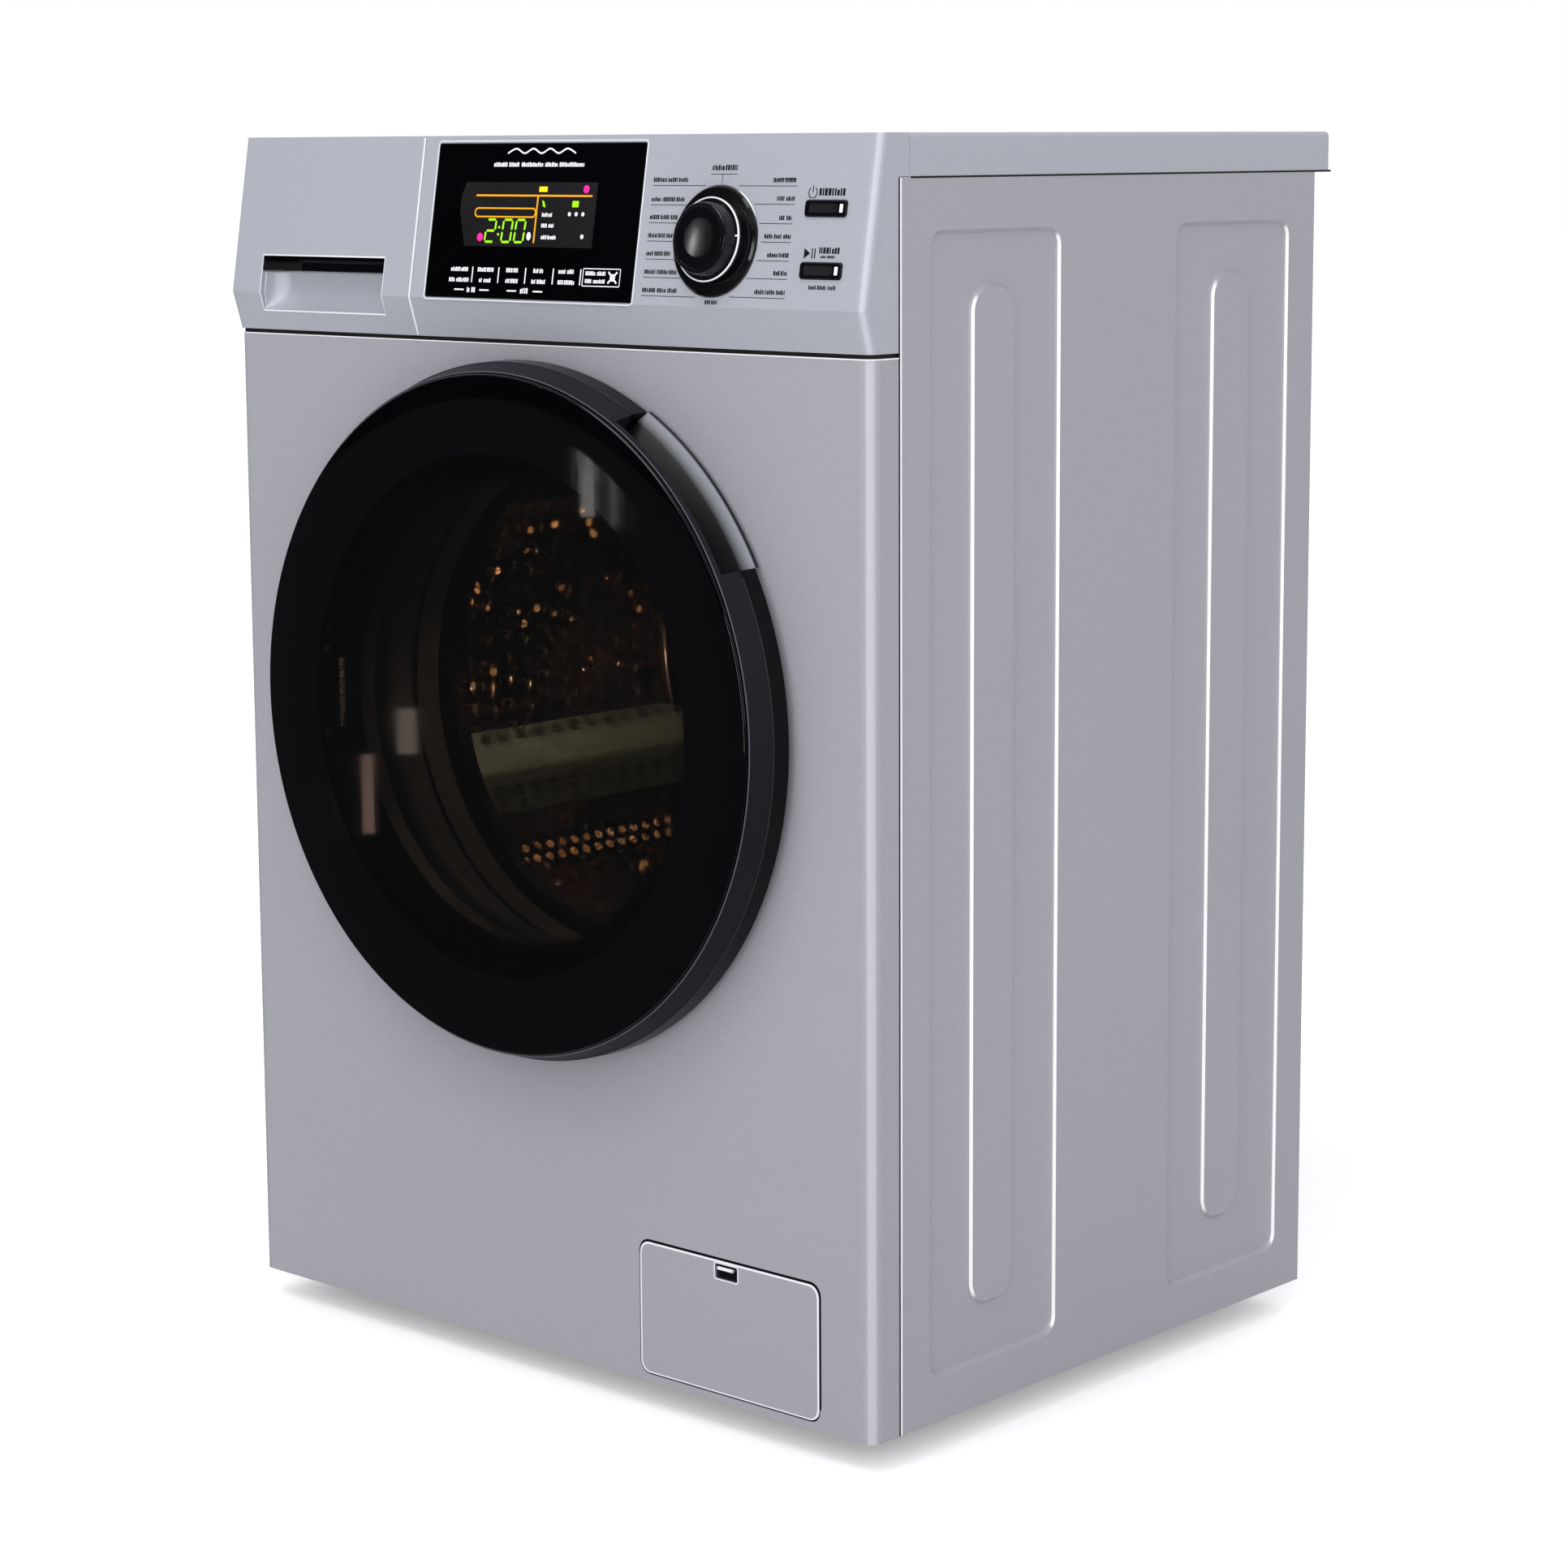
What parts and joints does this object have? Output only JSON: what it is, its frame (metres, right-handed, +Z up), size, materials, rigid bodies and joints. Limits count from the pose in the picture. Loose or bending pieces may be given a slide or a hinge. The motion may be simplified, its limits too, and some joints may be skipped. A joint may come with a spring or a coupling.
{
  "type": "washer dryer",
  "caption": "Front-loading all-in-one washer dryer with a round smoked glass door, detergent drawer, display, programme knob, service flap, sprung tub and belt-driven drum.",
  "frame": {"origin": "on the floor under the middle of the whole machine", "axes": "+Z up, the door faces -Y, +X to the right of someone facing the door"},
  "size_m": [0.597, 0.559, 0.85],
  "materials": {
    "silver_paint": "fine metallic satin",
    "silver_plastic": "fine metallic satin moulding",
    "galvanised_steel": "zinc coated sheet",
    "stainless_steel": "brushed stainless",
    "black_glass": "high gloss black window",
    "black_gloss": "gloss black moulding",
    "black_plastic": "satin black moulding",
    "dark_glass": "smoked door glass",
    "bowl_glass": "clear pressed glass",
    "grey_rubber": "moulded door seal",
    "black_rubber": "moulded rubber",
    "white_plastic": "white moulding",
    "tub_plastic": "light grey filled polypropylene",
    "cast_weight": "rough casting",
    "cast_aluminium": "die casting",
    "circuit_green": "circuit board in a tray",
    "foot_plastic": "foot moulding"
  },
  "bodies": {
    "cabinet": {"side_panel_left": "silver_paint", "side_panel_right": "silver_paint", "front_panel": "silver_paint", "rear_panel": "galvanised_steel", "rear_access_cover": "galvanised_steel", "base_pan": "black_plastic", "top_panel": "silver_plastic", "top_rails": "galvanised_steel", "control_console": "silver_plastic", "display_window": "black_glass", "control_board": "circuit_green", "knob_bezel": "black_gloss", "dispenser_housing": "white_plastic", "inlet_valves": "white_plastic", "drain_outlet": "black_plastic", "mains_gland": "black_plastic", "transit_bolt_caps": "black_plastic", "cabinet_screws": "stainless_steel", "flap_frame": "black_plastic", "drain_pump": "white_plastic", "sump_hose": "black_rubber", "damper_cylinders": "black_plastic", "suspension_springs": "stainless_steel", "door_gasket": "grey_rubber", "door_lock": "black_plastic", "door_hinge_bracket": "stainless_steel"},
    "tub": {"tub_front": "tub_plastic", "tub_rear": "tub_plastic", "counterweights": "cast_weight", "drive_motor": "cast_aluminium", "bearings_and_seal": "stainless_steel", "wash_heater": "stainless_steel", "drying_duct": "cast_aluminium", "damper_rods": "white_plastic", "drive_belt": "black_rubber"},
    "drum": {"drum_shell": "stainless_steel", "drum_lifters": "white_plastic", "drum_spider": "cast_aluminium", "drum_shaft": "stainless_steel", "drum_pulley": "cast_aluminium"},
    "motor_rotor": {"motor_pulley": "stainless_steel"},
    "fan_wheel": {"drying_fan": "cast_aluminium"},
    "door": {"door_outer_ring": "black_gloss", "door_inner_ring": "black_plastic", "door_glass_panel": "dark_glass", "door_glass_bowl": "bowl_glass", "door_handle": "silver_plastic", "door_hinge_arm": "stainless_steel"},
    "door_latch": {"latch_hook": "stainless_steel"},
    "drawer": {"drawer_front": "silver_plastic", "drawer_tray": "white_plastic"},
    "knob": {"program_knob": "black_gloss"},
    "power_key": {"power_button": "black_gloss"},
    "start_key": {"start_button": "black_gloss"},
    "flap": {"service_flap": "silver_plastic"},
    "filter": {"filter_cap": "white_plastic"},
    "levelling_foot_front_left": {"foot_front_left": "foot_plastic"},
    "levelling_foot_front_right": {"foot_front_right": "foot_plastic"},
    "levelling_foot_rear_left": {"foot_rear_left": "foot_plastic"},
    "levelling_foot_rear_right": {"foot_rear_right": "foot_plastic"}
  },
  "joints": [
    {"name": "door_swing", "type": "hinge", "parent": "cabinet", "child": "door", "pos_m": [-0.222, -0.2615, 0.467], "axis": [0, 0, -1], "range_deg": [0, 120]},
    {"name": "latch_hook_turn", "type": "hinge", "parent": "door", "child": "door_latch", "pos_m": [0.209, -0.2515, 0.467], "axis": [0, 0, 1], "range_deg": [0, 8], "stiffness_Nm_per_rad": 1, "springref_deg": -5.73},
    {"name": "drawer_slide", "type": "slide", "parent": "cabinet", "child": "drawer", "axis": [0, -1, 0], "range_m": [0, 0.15]},
    {"name": "knob_turn", "type": "hinge", "parent": "cabinet", "child": "knob", "pos_m": [0.171, -0.24055, 0.783], "axis": [0, -0.9859, 0.1671], "continuous": true},
    {"name": "power_press", "type": "slide", "parent": "cabinet", "child": "power_key", "axis": [0, 0.9859, -0.1671], "range_m": [0, 0.0015], "stiffness_N_per_m": 400, "springref_m": -0.001},
    {"name": "start_press", "type": "slide", "parent": "cabinet", "child": "start_key", "axis": [0, 0.9859, -0.1671], "range_m": [0, 0.0015], "stiffness_N_per_m": 400, "springref_m": -0.001},
    {"name": "flap_swing", "type": "hinge", "parent": "cabinet", "child": "flap", "pos_m": [0.173, -0.2361, 0.0335], "axis": [1, 0, 0], "range_deg": [0, 90]},
    {"name": "filter_turn", "type": "hinge", "parent": "cabinet", "child": "filter", "pos_m": [0.173, -0.1995, 0.078], "axis": [0, -1, 0], "range_deg": [0, 180]},
    {"name": "tub_bounce", "type": "slide", "parent": "cabinet", "child": "tub", "axis": [0, 0, 1], "range_m": [-0.008, 0.008], "stiffness_N_per_m": 24000, "springref_m": 0.01742, "deforming": ["suspension_springs", "sump_hose", "door_gasket"]},
    {"name": "drum_spin", "type": "hinge", "parent": "tub", "child": "drum", "pos_m": [0, 0.1605, 0.467], "axis": [0, 1, 0], "continuous": true},
    {"name": "motor_spin", "type": "hinge", "parent": "tub", "child": "motor_rotor", "pos_m": [-0.06, 0.1605, 0.125], "axis": [0, 1, 0], "continuous": true},
    {"name": "fan_spin", "type": "hinge", "parent": "tub", "child": "fan_wheel", "pos_m": [0.152, 0.1125, 0.74], "axis": [0, 0, 1], "continuous": true},
    {"name": "foot_screw_front_left", "type": "slide", "parent": "cabinet", "child": "levelling_foot_front_left", "axis": [0, 0, -1], "range_m": [0, 0.012]},
    {"name": "foot_screw_front_right", "type": "slide", "parent": "cabinet", "child": "levelling_foot_front_right", "axis": [0, 0, -1], "range_m": [0, 0.012]},
    {"name": "foot_screw_rear_left", "type": "slide", "parent": "cabinet", "child": "levelling_foot_rear_left", "axis": [0, 0, -1], "range_m": [0, 0.012]},
    {"name": "foot_screw_rear_right", "type": "slide", "parent": "cabinet", "child": "levelling_foot_rear_right", "axis": [0, 0, -1], "range_m": [0, 0.012]}
  ],
  "couplings": [
    {"joint": "motor_spin", "follows": "drum_spin", "ratio": 12.609}
  ]
}
